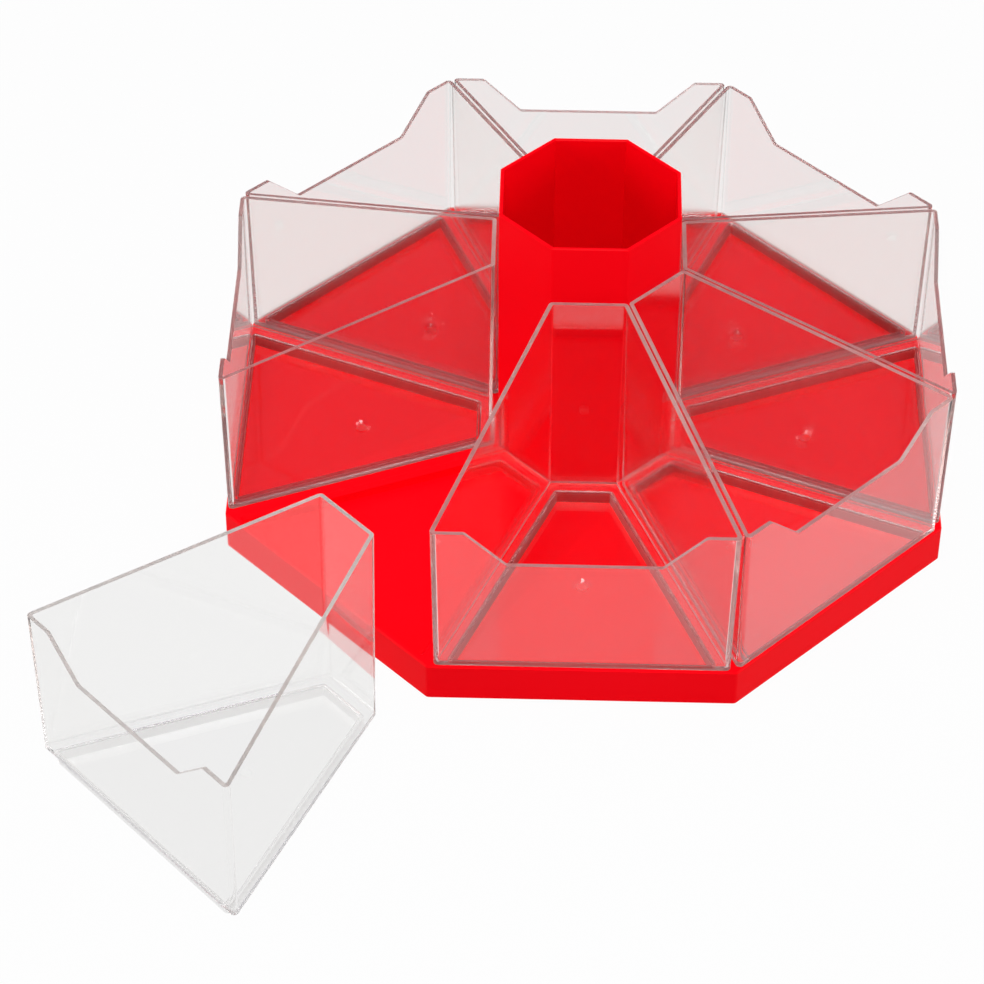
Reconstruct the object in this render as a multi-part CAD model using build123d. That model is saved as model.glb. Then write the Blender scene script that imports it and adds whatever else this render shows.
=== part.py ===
"""Classroom caddy: an octagonal tray with eight lift-out wedge bins round a tall pencil cup."""

import os
from math import atan, cos, degrees, radians, tan

from build123d import *

# Millimetres. +Z is up, the front seat faces -Y, and the origin is the octagon's axis on the table.

# Layout of the seats, anticlockwise from the front as seen from above
bin_names = [
    "bin_front",
    "bin_front_right",
    "bin_right",
    "bin_back_right",
    "bin_back",
    "bin_back_left",
    "bin_left",
    "bin_front_left",
]
lifted_out_bin = "bin_front_left"
seat_count = len(bin_names)

# Base tray
base_across_flats = 390.0
base_height = 22.5
base_wall = 2.0
base_corner_radius = 3.0
base_edge_chamfer = 0.8
seat_lead_in = 2.0
web_thickness = 1.6
web_lift = 3.0

# Pencil cup
cup_across_flats = 96.4
cup_height = 182.7
cup_wall = 2.0
cup_floor = 2.0
cup_taper = 0.6
cup_corner_radius = 1.2
cup_inside_radius = 1.0
cup_rim_chamfer = 0.5
well_clearance = 0.5
well_flare = 0.6

# Bin walls, which lean out as they climb. The gaps round a bin are those at the top of its inner wall.
bin_wall = 2.2
bin_floor = 2.0
bin_outer_height = 94.0
bin_inner_height = 127.5
bin_lean = 1.2
bin_side_gap = 0.4
bin_outer_inset = 0.0
bin_cup_gap = 1.9
bin_corner_radius = 2.4
bin_inside_radius = 0.8

# Bin foot and its seat
foot_depth = 7.6
foot_side_ledge = 6.0
foot_inner_ledge = 7.0
foot_outer_ledge = 1.9
foot_corner_radius = 2.6
foot_edge_chamfer = 1.0
sump_edge_chamfer = 1.0
seat_clearance = 0.6
seat_inner_clearance = 3.0
seat_inner_radius = 7.5
ledge_lift = 0.5

# Dip in the bin's outer wall, for reaching in
dip_tab = 18.5
dip_slope_run = 21.6
dip_depth = 21.4
dip_radius = 2.5

# Round mark that the mould's gate leaves on the bin's floor
gate_diameter = 10.5
gate_floor_diameter = 6.0
gate_depth = 0.9
gate_place_share = 0.5

# Where the lifted-out bin stands
lifted_gap = 29.0
lifted_shift = 62.9
lifted_turn = -46.4

# How far a cut runs past the solid
overrun = 5.0

# Worked out from the sizes above
seat_angle = 360 / seat_count
half_angle = seat_angle / 2
base_apothem = base_across_flats / 2
cup_apothem = cup_across_flats / 2
ledge_height = base_height + ledge_lift
seat_depth = foot_depth - ledge_lift
seat_floor_height = base_height - seat_depth
foot_height = seat_floor_height
outer_rim_height = ledge_height + bin_outer_height
inner_rim_height = ledge_height + bin_inner_height
bin_draft = degrees(atan(bin_lean / bin_inner_height))
cup_draft = degrees(atan(cup_taper / cup_height))
well_draft = degrees(atan(well_flare / (base_height - base_wall)))
cup_foot_apothem = cup_apothem - cup_taper
well_apothem = cup_foot_apothem + well_clearance


def octagon(apothem):
    """Octagon with a flat to the front, given by the distance from its centre to a flat."""
    return RegularPolygon(apothem, seat_count, major_radius=False, rotation=half_angle)


def half_width(apothem, side_inset):
    """Half the width of a front seat at a distance from the axis, set in from the seat's radial edges."""
    return apothem * tan(radians(half_angle)) - side_inset / cos(radians(half_angle))


def wedge(side_inset, inner_apothem, outer_apothem, outer_radius=0, inner_radius=0):
    """Flat wedge in the front seat, with its corners rounded where radii are given."""
    outer = half_width(outer_apothem, side_inset)
    inner = half_width(inner_apothem, side_inset)
    corners = [
        (-outer, -outer_apothem),
        (outer, -outer_apothem),
        (inner, -inner_apothem),
        (-inner, -inner_apothem),
    ]
    face = make_face(Polyline(*corners, close=True))
    if outer_radius > 0:
        face = fillet(face.vertices().sort_by(Axis.Y)[:2], outer_radius)
        face = fillet(face.vertices().sort_by(Axis.Y)[-2:], inner_radius)
    return face


def at_seat(number, shape):
    """The front seat's shape turned to another seat."""
    return Rot(0, 0, number * seat_angle) * shape


def drafted(face, low, height, angle):
    """A prism on a level face, whose sides lean out by an angle as they climb."""
    prism = Pos(0, 0, low) * extrude(face, height)
    sides = prism.faces().filter_by(Axis.Z, reverse=True)
    return draft(sides, Plane.XY.offset(low), -angle)


def lean_left(height):
    """How far a bin's walls still lean out between a height and the top of the inner wall."""
    return bin_lean * (inner_rim_height - height) / bin_inner_height


def bin_block(low, high, inset):
    """The space inside a bin's walls between two heights, set in from their outside."""
    side = bin_side_gap + lean_left(low) + inset
    inner = cup_apothem + bin_cup_gap + lean_left(low) + inset
    outer = base_apothem - bin_outer_inset - lean_left(low) - inset
    return drafted(wedge(side, inner, outer), low, high - low, bin_draft)


# The foot's own wedge, which the seat is fitted to
foot_side = bin_side_gap + bin_lean + foot_side_ledge
foot_inner = cup_apothem + bin_cup_gap + bin_lean + foot_inner_ledge
foot_outer = base_apothem - bin_outer_inset - bin_lean - foot_outer_ledge


def foot_section(inset):
    """The foot's wedge, set in from its outside."""
    radius = foot_corner_radius - inset
    return wedge(foot_side + inset, foot_inner + inset, foot_outer - inset, radius, radius)


def seat_cut():
    """What is cut from the deck for one bin's foot, with a sloped lead-in at the sides and the cup."""
    side = foot_side - seat_clearance
    inner = foot_inner - seat_inner_clearance
    outer = foot_outer + seat_clearance
    radius = foot_corner_radius + seat_clearance
    lead_in_height = base_height - seat_lead_in
    pocket = wedge(side, inner, outer, radius, seat_inner_radius)
    flared = wedge(side - seat_lead_in, inner - seat_lead_in, outer, radius, seat_inner_radius)
    straight = Pos(0, 0, seat_floor_height) * extrude(pocket, lead_in_height - seat_floor_height)
    sloped = loft([Pos(0, 0, lead_in_height) * pocket, Pos(0, 0, base_height) * flared], ruled=True)
    mouth = Pos(0, 0, base_height) * extrude(flared, overrun)
    return straight + sloped + mouth


def upright_edges(solid, height):
    """The edges of a solid that climb most of a height."""
    return [edge for edge in solid.edges() if edge.bounding_box().size.Z > height / 2]


def well_cut():
    """The octagonal well that the cup stands in, a little wider at the deck."""
    well = drafted(octagon(well_apothem), base_wall, base_height - base_wall, well_draft)
    mouth = extrude(octagon(well_apothem + well_flare), overrun)
    return well + Pos(0, 0, base_height) * mouth


def underside_cut():
    """The hollow under the deck, round the cup's well, with the webs left standing in it."""
    skirt_inside = base_apothem - base_wall
    well_outside = well_apothem + well_flare + base_wall
    hollow = extrude(octagon(skirt_inside) - octagon(well_outside), seat_floor_height - base_wall)
    web_plan = Pos(0, -(skirt_inside + well_outside) / 2) * Rectangle(
        web_thickness, skirt_inside - well_outside + overrun
    )
    web = Pos(0, 0, web_lift) * extrude(web_plan, base_height)
    for number in range(seat_count):
        hollow -= at_seat(number, web)
    return hollow


def rib_channel():
    """The hollow under the raised rib between the front seat and the next."""
    half = foot_side - seat_clearance - base_wall
    start = (foot_inner + foot_corner_radius) / cos(radians(half_angle))
    end = base_apothem / cos(radians(half_angle))
    strip = Pos(0, -(start + end) / 2) * Rectangle(2 * half, end - start)
    plan = Rot(0, 0, half_angle) * strip & octagon(base_apothem - base_wall)
    return extrude(plan, base_height - base_wall)


def base_tray():
    """Tray with its skirt, seats, well and hollow underside."""
    tray = extrude(octagon(base_apothem), base_height)
    tray = fillet(tray.edges().filter_by(Axis.Z), base_corner_radius)
    tray = chamfer(tray.faces().sort_by(Axis.Z)[-1].edges(), base_edge_chamfer)
    tray -= underside_cut()
    tray -= well_cut()
    for number in range(seat_count):
        tray -= at_seat(number, seat_cut())
        tray -= at_seat(number, rib_channel())
    return tray


def pencil_cup():
    """Tall octagonal cup standing on the well's floor."""
    outside = drafted(octagon(cup_foot_apothem), 0, cup_height, cup_draft)
    outside = fillet(upright_edges(outside, cup_height), cup_corner_radius)
    inside = drafted(octagon(cup_foot_apothem - cup_wall), cup_floor, cup_height, cup_draft)
    inside = fillet(upright_edges(inside, cup_height), cup_inside_radius)
    cup = outside - inside
    cup = chamfer(cup.faces().sort_by(Axis.Z)[-1].edges(), cup_rim_chamfer)
    return Pos(0, 0, base_wall) * cup


def outer_wall_place():
    """Distance from the axis to the outside of a bin's outer wall, at that wall's rim."""
    return base_apothem - bin_outer_inset - lean_left(outer_rim_height)


def rim_cut():
    """What is cut off above a bin's rim, which is level on its outer and inner walls and slopes between."""
    inner = cup_apothem + bin_cup_gap
    outer = outer_wall_place()
    corners = [
        (-outer - overrun, outer_rim_height),
        (-outer + bin_wall, outer_rim_height),
        (-inner - bin_wall, inner_rim_height),
        (-inner + overrun, inner_rim_height),
        (-inner + overrun, inner_rim_height + overrun),
        (-outer - overrun, inner_rim_height + overrun),
    ]
    return extrude(Plane.YZ * make_face(Polyline(*corners, close=True)), base_apothem, both=True)


def dip_cut():
    """The dip in the outer wall, with a level tab left at each end."""
    outer = outer_wall_place()
    side_gap = bin_side_gap + lean_left(outer_rim_height)
    mouth = half_width(outer, side_gap) - dip_tab
    bottom = mouth - dip_slope_run
    reach = mouth + dip_tab / 2
    right_half = [
        (bottom, outer_rim_height - dip_depth),
        (mouth, outer_rim_height),
        (reach, outer_rim_height),
        (reach, outer_rim_height + overrun),
    ]
    left_half = [(-x, z) for x, z in reversed(right_half)]
    face = make_face(Polyline(*right_half, *left_half, close=True))
    bends = [vertex for vertex in face.vertices() if abs(vertex.X) < (mouth + reach) / 2]
    face = fillet(bends, dip_radius)
    cut = extrude(Plane.XZ * face, bin_wall + overrun, both=True)
    return Pos(0, -outer, 0) * cut


def gate_mark():
    """Shallow round dish in the bin's floor."""
    place = foot_inner + (foot_outer - foot_inner) * gate_place_share
    dish = Cone(gate_floor_diameter / 2, gate_diameter / 2, gate_depth)
    return Pos(0, -place, foot_height + bin_floor - gate_depth / 2) * dish


def sump_edges(shell):
    """The edges where the ledge inside a bin drops into its foot."""
    rings = [face for face in shell.faces() if face.inner_wires()]
    ledge_top = ShapeList(rings).sort_by(Axis.Z)[1]
    return ledge_top.inner_wires()[0].edges()


def wedge_bin():
    """Clear bin standing in the front seat."""
    walls = bin_block(ledge_height, inner_rim_height, 0)
    walls = fillet(upright_edges(walls, bin_inner_height), bin_corner_radius)
    foot = Pos(0, 0, foot_height) * extrude(foot_section(0), foot_depth + bin_floor)
    foot = chamfer(foot.faces().sort_by(Axis.Z)[0].edges(), foot_edge_chamfer)
    space = bin_block(ledge_height + bin_floor, inner_rim_height + overrun, bin_wall)
    space = fillet(upright_edges(space, bin_inner_height), bin_inside_radius)
    sump = Pos(0, 0, foot_height + bin_floor) * extrude(foot_section(bin_wall), foot_depth)
    shell = walls + foot - space - sump
    shell = chamfer(sump_edges(shell), sump_edge_chamfer)
    return shell - rim_cut() - dip_cut() - gate_mark()


def lifted_out(seated):
    """The same bin standing on the table in front of the tray, turned a little."""
    away = base_apothem + lifted_gap - cup_apothem - bin_cup_gap
    return Rot(0, 0, lifted_turn) * Pos(lifted_shift, -away, -foot_height) * seated


os.makedirs("parts", exist_ok=True)
export_step(base_tray(), "parts/base_tray.step")
export_step(pencil_cup(), "parts/pencil_cup.step")
front_bin = wedge_bin()
for number, name in enumerate(bin_names):
    placed = at_seat(number, front_bin)
    if name == lifted_out_bin:
        placed = lifted_out(front_bin)
    export_step(placed, f"parts/{name}.step")
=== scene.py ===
"""Looks of the classroom caddy: red moulded tray and cup, clear moulded bins, on a white table."""

import math

import bpy
from mathutils import Euler, Matrix, Vector

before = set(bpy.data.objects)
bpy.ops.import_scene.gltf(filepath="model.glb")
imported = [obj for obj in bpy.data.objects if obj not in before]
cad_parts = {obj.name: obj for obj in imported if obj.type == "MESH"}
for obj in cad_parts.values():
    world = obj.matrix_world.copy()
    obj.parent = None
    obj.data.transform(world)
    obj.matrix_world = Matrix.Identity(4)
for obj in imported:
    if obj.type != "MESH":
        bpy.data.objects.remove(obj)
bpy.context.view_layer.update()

# Metres and degrees. +Z is up, the front seat faces -Y, and the origin is the tray's axis on the table.

# Where the photograph was taken from
camera_aim = (-0.0488, -0.1219, 0.080)
camera_distance = 1.8593
camera_turn = 1.174
camera_elevation = 42.49
camera_roll = 0.368
camera_lens = 129.58

# Studio: the table and the backdrop look white, and light the caddy only as much as their own greys do
table_size = 20.0
table_grey = (0.55, 0.55, 0.55, 1)
table_glow_share = 0.96
table_seen_through = (0.9, 0.9, 0.9, 1)
room_grey = (0.4, 0.385, 0.445, 1)
plain_white = (1, 1, 1, 1)
lamps = {
    "left_softbox": {"place": (-2.1, -0.6, 0.75), "size": 1.0, "watts": 18.0},
    "right_softbox": {"place": (2.1, -0.6, 0.75), "size": 1.0, "watts": 15.0},
    "front_softbox": {"place": (0.0, -0.95, 1.75), "size": 0.7, "watts": 19.5},
    "top_softbox": {"place": (0.0, 0.13, 2.2), "size": 0.6, "watts": 9.0},
}
lamp_aim = (0.0, 0.0, 0.06)

# Red moulded plastic
red_deep = (0.88, 0.0003, 0.004, 1)
red_bright = (0.95, 0.0006, 0.007, 1)
red_cloud_scale = 9.0
red_cloud_detail = 3.0
red_roughness = 0.34
red_roughness_spread = 0.08
red_grain_scale = 2600.0
red_grain_detail = 2.0
red_grain_height = 0.00002
red_grain_strength = 0.35
red_shine = 0.025
noise_middle = 0.5

# Clear moulded plastic
clear_tint = (0.985, 0.985, 0.98, 1)
clear_shade = (0.96, 0.96, 0.96, 1)
clear_bend = 1.58
clear_dim_colour = (0.6, 0.45, 0.38, 1)
clear_dim = 5.5
clear_roughness = 0.015
clear_haze = 0.03
clear_haze_detail = 4.0
clear_flow_scale = 14.0
clear_flow_detail = 1.0
clear_flow_height = 0.00006
clear_flow_strength = 0.2

# Where a bin is satin or has painted shade on its foot: heights above its foot, and how far a face looks
# up, from -1 to 1
rim_height = 0.05
rim_facing = 0.3
rim_roughness = 0.8
gate_heights = (0.0005, 0.0016)
gate_facing = 0.97
gate_roughness = 0.5
foot_height = 0.0101
foot_facing = 0.5
foot_roughness = 0.45
painted_shade_facing = (-0.5, 0.85)
# Painted shade: a darker tint on the foot's walls and edges, deep for bins in their seats and faint for
# the bin on the table
painted_edge_shade_seated = (0.5, 0.34, 0.32, 1)
painted_edge_shade_lifted = (0.92, 0.915, 0.91, 1)

# How high the bins stand, and which one stands on the table
seat_height = 0.0154
table_height = 0.0
lifted_bin = "bin_front_left"

# Light that passes through many clear walls
clear_walls_deep = 64


class Value:
    """A shader socket that can stand in an expression, which adds its Math nodes."""

    def __init__(self, graph, socket):
        self.graph = graph
        self.socket = socket

    def maths(self, operation, first, second):
        return self.graph.node("ShaderNodeMath", {"operation": operation}, {0: first, 1: second})

    def __add__(self, other):
        return self.maths("ADD", self, other)

    __radd__ = __add__

    def __sub__(self, other):
        return self.maths("SUBTRACT", self, other)

    def __rsub__(self, other):
        return self.maths("SUBTRACT", other, self)

    def __mul__(self, other):
        return self.maths("MULTIPLY", self, other)

    __rmul__ = __mul__

    def __gt__(self, other):
        return self.maths("GREATER_THAN", self, other)

    def __lt__(self, other):
        return self.maths("LESS_THAN", self, other)


class Graph:
    """A material or world whose nodes are added one call each."""

    def __init__(self, block):
        block.use_nodes = True
        self.tree = block.node_tree
        self.tree.nodes.clear()

    def node(self, kind, settings=None, sockets=None, output=0):
        """Adds a node with its settings and the values or links of its sockets."""
        made = self.tree.nodes.new(kind)
        for name, value in (settings or {}).items():
            setattr(made, name, value)
        for name, value in (sockets or {}).items():
            self.feed(made.inputs[name], value)
        return Value(self, made.outputs[output])

    def feed(self, socket, value):
        """Links a value to a socket, or sets a plain number or colour on it."""
        if isinstance(value, Value):
            self.tree.links.new(value.socket, socket)
        else:
            socket.default_value = value

    def mix_colours(self, share, first, second):
        settings = {"data_type": "RGBA"}
        return self.node("ShaderNodeMix", settings, {0: share, 6: first, 7: second}, output=2)

    def noise(self, scale, detail, place):
        sockets = {"Vector": place, "Scale": scale, "Detail": detail}
        return self.node("ShaderNodeTexNoise", {}, sockets, output="Fac")

    def facing(self):
        """The way that a face looks, in the piece's own axes."""
        return self.node("ShaderNodeTexCoord", output="Normal")

    def place(self):
        """The point on the surface, in the piece's own axes."""
        return self.node("ShaderNodeTexCoord", output="Object")

    def upward(self, vector):
        return self.node("ShaderNodeSeparateXYZ", {}, {"Vector": vector}, output="Z")

    def bump(self, strength, distance, height):
        sockets = {"Strength": strength, "Distance": distance, "Height": height}
        return self.node("ShaderNodeBump", {}, sockets)

    def ray(self, kind):
        return self.node("ShaderNodeLightPath", output=kind)

    def mix_shaders(self, share, first, second):
        return self.node("ShaderNodeMixShader", {}, {0: share, 1: first, 2: second})

    def show(self, shader, filling=None, kind="ShaderNodeOutputMaterial"):
        """Puts a shader on the surface and, where one is given, a filling inside it."""
        shown = self.tree.nodes.new(kind)
        self.feed(shown.inputs["Surface"], shader)
        if filling is not None:
            self.feed(shown.inputs["Volume"], filling)


def red_plastic():
    """Bright red satin moulding, with faint clouds in its colour and a fine even grain."""
    material = bpy.data.materials.new("red_moulding")
    graph = Graph(material)
    place = graph.place()
    clouds = graph.noise(red_cloud_scale, red_cloud_detail, place)
    grain = graph.noise(red_grain_scale, red_grain_detail, place)
    shader = graph.node(
        "ShaderNodeBsdfPrincipled",
        {},
        {
            "Base Color": graph.mix_colours(clouds, red_deep, red_bright),
            "Roughness": red_roughness + red_roughness_spread * (clouds - noise_middle),
            "Normal": graph.bump(red_grain_strength, red_grain_height, grain),
            "Specular IOR Level": red_shine,
        },
    )
    graph.show(shader)
    return material


def clear_plastic(name, floor_height, painted_edge_shade):
    """Clear moulding of a bin that stands at a height.

    It has slow waves where the melt flowed and a little haze. Its rims, foot and gate mark are satin, the
    foot's walls and edges carry painted shade, a darker tint that stands for the shade where the bin
    stands, and lamps shine through it.
    """
    material = bpy.data.materials.new(name)
    graph = Graph(material)
    place = graph.place()
    flow = graph.noise(clear_flow_scale, clear_flow_detail, place)
    haze = graph.noise(clear_flow_scale, clear_haze_detail, place)
    up = graph.upward(graph.facing())
    height = graph.upward(place) - floor_height
    rim = (up > rim_facing) * (height > rim_height)
    gate = (up > gate_facing) * (height > gate_heights[0]) * (height < gate_heights[1])
    low = height < foot_height
    foot = low * (up < foot_facing)
    # Painted shade: faces of the foot below the foot height, neither looking down nor up, get the darker
    # tint
    painted_shade_edge = low * (up > painted_shade_facing[0]) * (up < painted_shade_facing[1])
    satin = rim_roughness * rim + gate_roughness * gate + foot_roughness * foot
    glassy = graph.node(
        "ShaderNodeBsdfPrincipled",
        {},
        {
            "Base Color": graph.mix_colours(painted_shade_edge, clear_tint, painted_edge_shade),
            "Roughness": clear_roughness + clear_haze * haze + satin,
            "IOR": clear_bend,
            "Transmission Weight": 1.0,
            "Normal": graph.bump(clear_flow_strength, clear_flow_height, flow),
        },
    )
    unbent = graph.node("ShaderNodeBsdfTransparent", {}, {"Color": clear_shade})
    lit = graph.mix_shaders(graph.ray("Is Diffuse Ray"), glassy, unbent)
    dimming = graph.node(
        "ShaderNodeVolumeAbsorption", {}, {"Color": clear_dim_colour, "Density": clear_dim}
    )
    graph.show(graph.mix_shaders(graph.ray("Is Shadow Ray"), lit, unbent), dimming)
    return material


def table_finish():
    """White table top that keeps the caddy's shadow, and looks a little greyer through the clear bins."""
    material = bpy.data.materials.new("white_table")
    graph = Graph(material)
    plain = graph.node("ShaderNodeBsdfDiffuse", {}, {"Color": table_grey})
    direct = graph.ray("Is Camera Ray")
    seen = direct + graph.ray("Is Glossy Ray") + graph.ray("Is Transmission Ray")
    white = graph.mix_colours(direct, table_seen_through, plain_white)
    glow = graph.node("ShaderNodeEmission", {}, {"Color": white, "Strength": 1.0})
    graph.show(graph.mix_shaders(table_glow_share * seen, plain, glow))
    return material


def table():
    """Wide level table top under the caddy."""
    half = table_size / 2
    mesh = bpy.data.meshes.new("table")
    corners = [(-half, -half, 0), (half, -half, 0), (half, half, 0), (-half, half, 0)]
    mesh.from_pydata(corners, [], [(0, 1, 2, 3)])
    top = bpy.data.objects.new("table", mesh)
    bpy.context.scene.collection.objects.link(top)
    mesh.materials.append(table_finish())


def room():
    """Even grey light from all round, in front of a white backdrop."""
    world = bpy.data.worlds.new("room")
    bpy.context.scene.world = world
    graph = Graph(world)
    colour = graph.mix_colours(graph.ray("Is Camera Ray"), room_grey, plain_white)
    light = graph.node("ShaderNodeBackground", {}, {"Color": colour, "Strength": 1.0})
    graph.show(light, kind="ShaderNodeOutputWorld")


def softboxes():
    """Round soft lamps that face the caddy."""
    for name, box in lamps.items():
        light = bpy.data.lights.new(name, "AREA")
        light.shape = "DISK"
        light.size = box["size"]
        light.energy = box["watts"]
        lamp = bpy.data.objects.new(name, light)
        bpy.context.scene.collection.objects.link(lamp)
        lamp.location = box["place"]
        towards = Vector(lamp_aim) - Vector(box["place"])
        lamp.rotation_euler = towards.to_track_quat("-Z", "Y").to_euler()


def camera():
    """Camera at the photograph's place, given by what it aims at and from how far."""
    data = bpy.data.cameras.new("camera")
    data.lens = camera_lens
    data.clip_end = table_size * 2
    made = bpy.data.objects.new("camera", data)
    bpy.context.scene.collection.objects.link(made)
    tilt = Euler((math.radians(90 - camera_elevation), 0, math.radians(camera_turn))).to_matrix()
    roll = Matrix.Rotation(math.radians(camera_roll), 3, "Z")
    turned = tilt @ roll
    place = Vector(camera_aim) + turned @ Vector((0, 0, camera_distance))
    made.matrix_world = Matrix.Translation(place) @ turned.to_4x4()
    bpy.context.scene.camera = made


def dress(nodes, material):
    """Gives CAD pieces a finish."""
    for name in nodes:
        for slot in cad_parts[name].material_slots:
            slot.material = material


table()
room()
softboxes()
camera()
dress(["base_tray", "pencil_cup"], red_plastic())
seated = [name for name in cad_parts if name.startswith("bin_") and name != lifted_bin]
# Seated bins get the deep painted shade on their feet, and the bin on the table gets the faint one
dress(seated, clear_plastic("clear_moulding", seat_height, painted_edge_shade_seated))
dress([lifted_bin], clear_plastic("clear_moulding_lifted", table_height, painted_edge_shade_lifted))

scene = bpy.context.scene
scene.view_settings.view_transform = "Standard"
scene.cycles.max_bounces = clear_walls_deep
scene.cycles.glossy_bounces = clear_walls_deep
scene.cycles.transmission_bounces = clear_walls_deep
scene.cycles.transparent_max_bounces = clear_walls_deep
